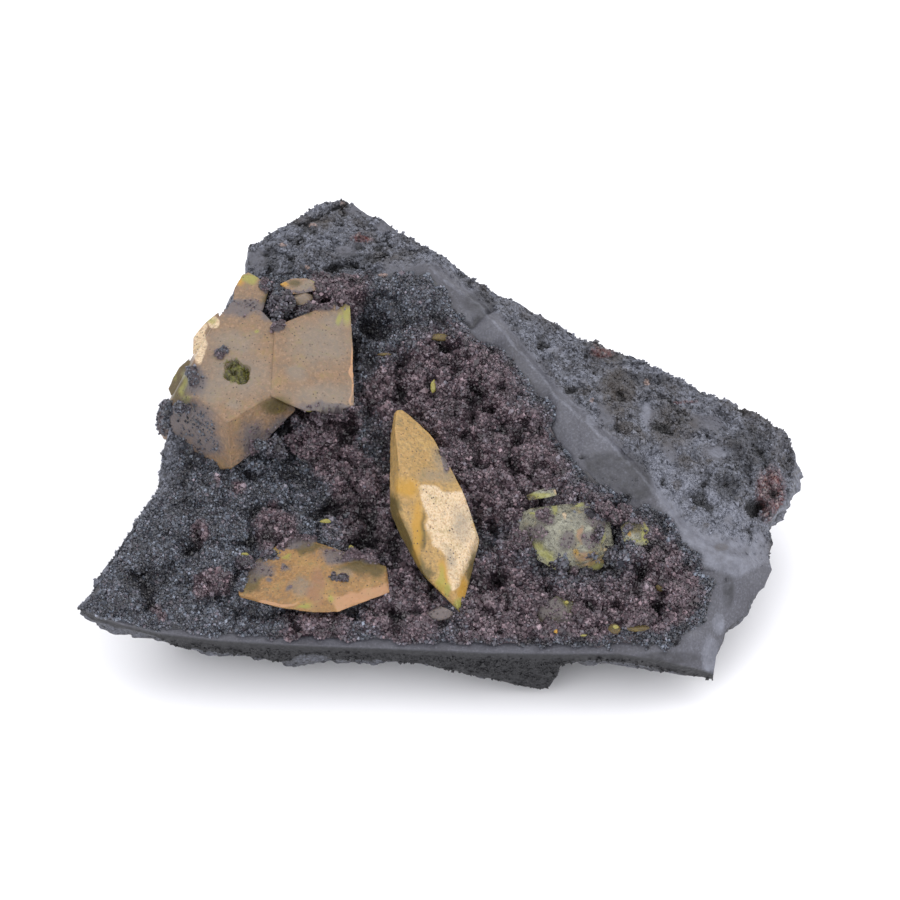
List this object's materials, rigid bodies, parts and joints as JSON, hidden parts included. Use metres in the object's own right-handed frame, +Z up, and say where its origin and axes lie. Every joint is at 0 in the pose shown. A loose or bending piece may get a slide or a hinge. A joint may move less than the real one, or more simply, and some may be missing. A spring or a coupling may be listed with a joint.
{
  "type": "sturmanite mineral specimen",
  "caption": "Dark wedge-shaped slab of iron-manganese ore with a sugary crystal crust and yellow-brown sturmanite crystals; a display and study specimen.",
  "frame": {"origin": "middle of the specimen's footprint box, on the surface it rests on, at the flat underside", "axes": "+Z up from the flat underside; +X along the long front edge, to the right as seen from the front; +Y from the front edge to the raised back"},
  "size_m": [0.0601, 0.0422, 0.0211],
  "materials": {
    "ore": "fine-grained hematite and manganese ore, dull blue-grey with a metallic sparkle, smooth on the fracture band and rough elsewhere",
    "crust": "sugary purple-brown to blue-black hausmannite druse with bright pinpoint sparkle",
    "sturmanite": "translucent yellow-brown crystal with a waxy, frosted skin and olive to yellow-green edges",
    "glassy": "corroded grey-green glassy crystal, see-through in places",
    "olive": "small olive to yellow-green crystals, vitreous"
  },
  "bodies": {
    "root": {"rock_matrix": "ore", "druse_crust": "crust", "crystal_pair_upper_left": "sturmanite", "crystal_center": "sturmanite", "crystal_lower_left": "sturmanite", "crystal_right_glassy": "glassy", "crystal_small_right": "olive", "crystal_sliver": "olive", "crystal_small_top": "olive", "crystal_glassy_front": "glassy"}
  },
  "joints": []
}
